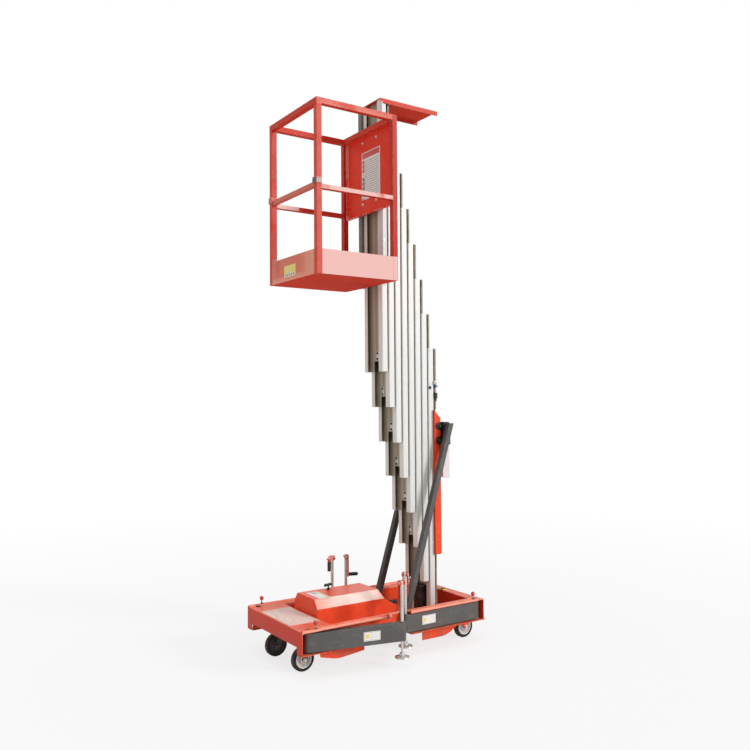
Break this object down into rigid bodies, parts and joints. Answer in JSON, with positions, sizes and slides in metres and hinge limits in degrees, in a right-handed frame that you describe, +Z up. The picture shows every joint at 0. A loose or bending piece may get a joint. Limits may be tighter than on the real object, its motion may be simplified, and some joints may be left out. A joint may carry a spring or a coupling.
{
  "type": "push-around vertical mast lift",
  "caption": "Push-around personnel lift: nested aluminium mast with a one-person cage on a wheeled chassis with swing-out jack outriggers.",
  "frame": {"origin": "on the floor under the middle of the chassis, with the wheels on z = 0", "axes": "+X from the cage end to the mast end, +Y to the left when facing +X, +Z up"},
  "size_m": [1.456, 0.9651, 3.735],
  "materials": {
    "orange": "gloss, scuffed",
    "cage_red": "satin",
    "crank_red": "satin",
    "knob": "gloss",
    "arm_grey": "satin",
    "mount_grey": "satin",
    "aluminium": "extruded, clear anodised",
    "tread": "raised tread",
    "chrome": "polished",
    "hub": "zinc plated",
    "tyre": "matt",
    "black": "satin",
    "dark_iron": "matt"
  },
  "bodies": {
    "base": {"side_channels": "orange", "front_deck": "orange", "chassis_frame": "orange", "step_tread": "tread", "skid_plates": "orange", "pivot_pins": "black", "lock_pins": "knob", "power_pack_cover": "orange", "pump_unit": "dark_iron", "rear_wheel_brackets": "orange", "mast_section_8": "aluminium", "mast_spine": "orange", "mast_braces": "arm_grey", "brace_bracket": "arm_grey", "lift_cylinder": "black"},
    "section_7": {"mast_section_7": "aluminium"},
    "section_6": {"mast_section_6": "aluminium"},
    "section_5": {"mast_section_5": "aluminium"},
    "section_4": {"mast_section_4": "aluminium"},
    "section_3": {"mast_section_3": "aluminium"},
    "section_2": {"mast_section_2": "aluminium"},
    "section_1": {"mast_section_1": "aluminium", "mast_cap": "cage_red", "cage_frame": "cage_red", "cage_floor": "cage_red", "cage_back_panel": "cage_red", "cage_mounts": "mount_grey"},
    "drop_bar": {"drop_bar": "cage_red"},
    "arm_front_right": {"outrigger_arm_front_right": "arm_grey"},
    "jack_front_right": {"jack_screw_front_right": "chrome", "jack_crank_front_right": "crank_red"},
    "arm_front_left": {"outrigger_arm_front_left": "arm_grey"},
    "jack_front_left": {"jack_screw_front_left": "chrome", "jack_crank_front_left": "crank_red"},
    "arm_rear_right": {"outrigger_arm_rear_right": "arm_grey"},
    "jack_rear_right": {"jack_screw_rear_right": "chrome", "jack_crank_rear_right": "crank_red"},
    "arm_rear_left": {"outrigger_arm_rear_left": "arm_grey"},
    "jack_rear_left": {"jack_screw_rear_left": "chrome", "jack_crank_rear_left": "crank_red"},
    "caster_right": {"caster_fork_right": "orange"},
    "wheel_front_right": {"tyre_front_right": "tyre", "hub_front_right": "hub"},
    "wheel_rear_right": {"tyre_rear_right": "tyre", "hub_rear_right": "hub"},
    "caster_left": {"caster_fork_left": "orange"},
    "wheel_front_left": {"tyre_front_left": "tyre", "hub_front_left": "hub"},
    "wheel_rear_left": {"tyre_rear_left": "tyre", "hub_rear_left": "hub"}
  },
  "joints": [
    {"name": "mast_slide_7", "type": "slide", "parent": "base", "child": "section_7", "axis": [0, 0, 1], "range_m": [-0.215, 1.05]},
    {"name": "mast_slide_6", "type": "slide", "parent": "section_7", "child": "section_6", "axis": [0, 0, 1], "range_m": [-0.215, 1.05]},
    {"name": "mast_slide_5", "type": "slide", "parent": "section_6", "child": "section_5", "axis": [0, 0, 1], "range_m": [-0.215, 1.05]},
    {"name": "mast_slide_4", "type": "slide", "parent": "section_5", "child": "section_4", "axis": [0, 0, 1], "range_m": [-0.215, 1.05]},
    {"name": "mast_slide_3", "type": "slide", "parent": "section_4", "child": "section_3", "axis": [0, 0, 1], "range_m": [-0.215, 1.05]},
    {"name": "mast_slide_2", "type": "slide", "parent": "section_3", "child": "section_2", "axis": [0, 0, 1], "range_m": [-0.215, 1.05]},
    {"name": "mast_slide_1", "type": "slide", "parent": "section_2", "child": "section_1", "axis": [0, 0, 1], "range_m": [-0.215, 1.05]},
    {"name": "drop_bar_slide", "type": "slide", "parent": "section_1", "child": "drop_bar", "axis": [0, 0, 1], "range_m": [0, 0.42]},
    {"name": "arm_swing_front_right", "type": "hinge", "parent": "base", "child": "arm_front_right", "pos_m": [-0.65, -0.339, 0.165], "axis": [0, 0, -1], "range_deg": [-12.5, 32.5]},
    {"name": "jack_slide_front_right", "type": "slide", "parent": "arm_front_right", "child": "jack_front_right", "axis": [0, 0, -1], "range_m": [-0.055, 0.061]},
    {"name": "arm_swing_front_left", "type": "hinge", "parent": "base", "child": "arm_front_left", "pos_m": [-0.65, 0.339, 0.165], "axis": [0, 0, 1], "range_deg": [-5.5, 39.5]},
    {"name": "jack_slide_front_left", "type": "slide", "parent": "arm_front_left", "child": "jack_front_left", "axis": [0, 0, -1], "range_m": [-0.041, 0.075]},
    {"name": "arm_swing_rear_right", "type": "hinge", "parent": "base", "child": "arm_rear_right", "pos_m": [0.66, -0.339, 0.165], "axis": [0, 0, 1], "range_deg": [0, 45]},
    {"name": "jack_slide_rear_right", "type": "slide", "parent": "arm_rear_right", "child": "jack_rear_right", "axis": [0, 0, -1], "range_m": [-0.041, 0.075]},
    {"name": "arm_swing_rear_left", "type": "hinge", "parent": "base", "child": "arm_rear_left", "pos_m": [0.66, 0.339, 0.165], "axis": [0, 0, -1], "range_deg": [-5.5, 39.5]},
    {"name": "jack_slide_rear_left", "type": "slide", "parent": "arm_rear_left", "child": "jack_rear_left", "axis": [0, 0, -1], "range_m": [-0.041, 0.075]},
    {"name": "caster_swivel_right", "type": "hinge", "parent": "base", "child": "caster_right", "pos_m": [-0.56, -0.18, 0.186], "axis": [0, 0, 1], "continuous": true},
    {"name": "wheel_spin_front_right", "type": "hinge", "parent": "caster_right", "child": "wheel_front_right", "pos_m": [-0.6, -0.18, 0.075], "axis": [0, 1, 0], "continuous": true},
    {"name": "wheel_spin_rear_right", "type": "hinge", "parent": "base", "child": "wheel_rear_right", "pos_m": [0.671, -0.2, 0.075], "axis": [0, 1, 0], "continuous": true},
    {"name": "caster_swivel_left", "type": "hinge", "parent": "base", "child": "caster_left", "pos_m": [-0.56, 0.18, 0.186], "axis": [0, 0, 1], "continuous": true},
    {"name": "wheel_spin_front_left", "type": "hinge", "parent": "caster_left", "child": "wheel_front_left", "pos_m": [-0.6, 0.18, 0.075], "axis": [0, 1, 0], "continuous": true},
    {"name": "wheel_spin_rear_left", "type": "hinge", "parent": "base", "child": "wheel_rear_left", "pos_m": [0.671, 0.2, 0.075], "axis": [0, 1, 0], "continuous": true}
  ],
  "couplings": [
    {"joint": "mast_slide_6", "follows": "mast_slide_7", "ratio": 1},
    {"joint": "mast_slide_5", "follows": "mast_slide_7", "ratio": 1},
    {"joint": "mast_slide_4", "follows": "mast_slide_7", "ratio": 1},
    {"joint": "mast_slide_3", "follows": "mast_slide_7", "ratio": 1},
    {"joint": "mast_slide_2", "follows": "mast_slide_7", "ratio": 1},
    {"joint": "mast_slide_1", "follows": "mast_slide_7", "ratio": 1}
  ]
}
